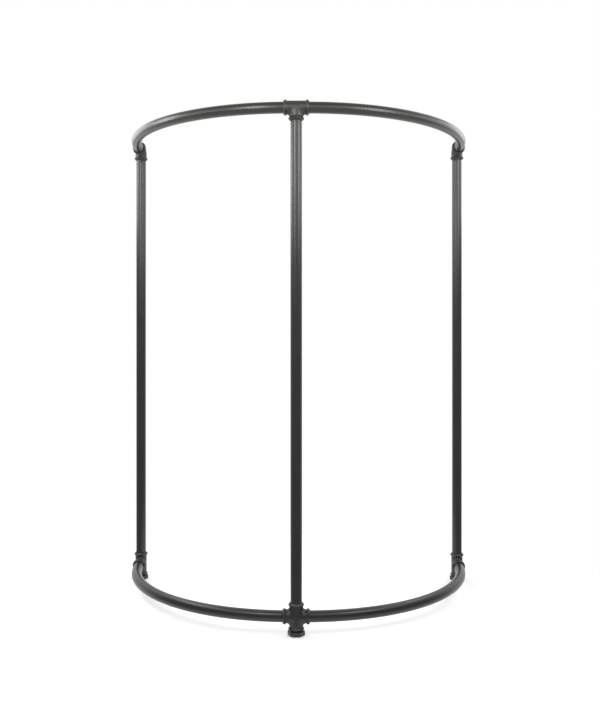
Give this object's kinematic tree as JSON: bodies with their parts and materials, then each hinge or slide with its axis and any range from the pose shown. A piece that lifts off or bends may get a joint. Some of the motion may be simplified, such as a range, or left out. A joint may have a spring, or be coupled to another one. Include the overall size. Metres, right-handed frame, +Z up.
{
  "type": "half-round garment rack",
  "caption": "Half-round garment rack of painted steel pipe: curved hanging and base rails, straight uprights, cast fittings and screw-down levelling feet.",
  "frame": {"origin": "on the floor, under the middle of the rack's footprint", "axes": "+Z up, the bow faces -Y and the open side faces +Y, +X to the right seen from the bow"},
  "size_m": [0.9316, 0.4834, 1.2293],
  "materials": {
    "pipe_paint": "dark grey semi-gloss paint on steel pipe",
    "fitting_paint": "the same dark grey paint over a slightly grainy casting",
    "plug_paint": "dark grey paint over a cast plug, a little rubbed at the corners",
    "screw_steel": "black oxide steel",
    "pad_rubber": "matt black rubber"
  },
  "bodies": {
    "frame": {"upper_front_tee": "fitting_paint", "lower_front_cross": "fitting_paint", "upper_left_elbow": "fitting_paint", "upper_right_elbow": "fitting_paint", "lower_left_tee": "fitting_paint", "lower_right_tee": "fitting_paint", "upper_left_rail": "pipe_paint", "upper_right_rail": "pipe_paint", "lower_left_rail": "pipe_paint", "lower_right_rail": "pipe_paint", "front_upright": "pipe_paint", "left_upright": "pipe_paint", "right_upright": "pipe_paint", "upper_front_tee_screw_left": "screw_steel", "upper_front_tee_screw_right": "screw_steel", "upper_front_tee_screw_upright": "screw_steel", "lower_front_cross_screw_left": "screw_steel", "lower_front_cross_screw_right": "screw_steel", "lower_front_cross_screw_upright": "screw_steel", "upper_left_elbow_screw_rail": "screw_steel", "upper_left_elbow_screw_upright": "screw_steel", "upper_right_elbow_screw_rail": "screw_steel", "upper_right_elbow_screw_upright": "screw_steel", "lower_left_tee_screw_rail": "screw_steel", "lower_left_tee_screw_upright": "screw_steel", "lower_right_tee_screw_rail": "screw_steel", "lower_right_tee_screw_upright": "screw_steel"},
    "front_pad": {"front_foot_pad": "pad_rubber"},
    "front_plug": {"front_foot_plug": "plug_paint"},
    "left_pad": {"left_foot_pad": "pad_rubber"},
    "left_plug": {"left_foot_plug": "plug_paint"},
    "right_pad": {"right_foot_pad": "pad_rubber"},
    "right_plug": {"right_foot_plug": "plug_paint"}
  },
  "joints": [
    {"name": "front_foot_extend", "type": "slide", "parent": "frame", "child": "front_pad", "axis": [0, 0, -1], "range_m": [0, 0.00725]},
    {"name": "front_foot_turn", "type": "hinge", "parent": "front_pad", "child": "front_plug", "pos_m": [0, -0.22261, 0.02], "axis": [0, 0, -1], "range_deg": [0, 1440]},
    {"name": "left_foot_extend", "type": "slide", "parent": "frame", "child": "left_pad", "axis": [0, 0, -1], "range_m": [0, 0.00725]},
    {"name": "left_foot_turn", "type": "hinge", "parent": "left_pad", "child": "left_plug", "pos_m": [-0.445, 0.22239, 0.02], "axis": [0, 0, -1], "range_deg": [0, 1440]},
    {"name": "right_foot_extend", "type": "slide", "parent": "frame", "child": "right_pad", "axis": [0, 0, -1], "range_m": [0, 0.00725]},
    {"name": "right_foot_turn", "type": "hinge", "parent": "right_pad", "child": "right_plug", "pos_m": [0.445, 0.22239, 0.02], "axis": [0, 0, -1], "range_deg": [0, 1440]}
  ],
  "couplings": [
    {"joint": "front_foot_turn", "follows": "front_foot_extend", "rad_per_m": 3463.2},
    {"joint": "left_foot_turn", "follows": "left_foot_extend", "rad_per_m": 3463.2},
    {"joint": "right_foot_turn", "follows": "right_foot_extend", "rad_per_m": 3463.2}
  ]
}
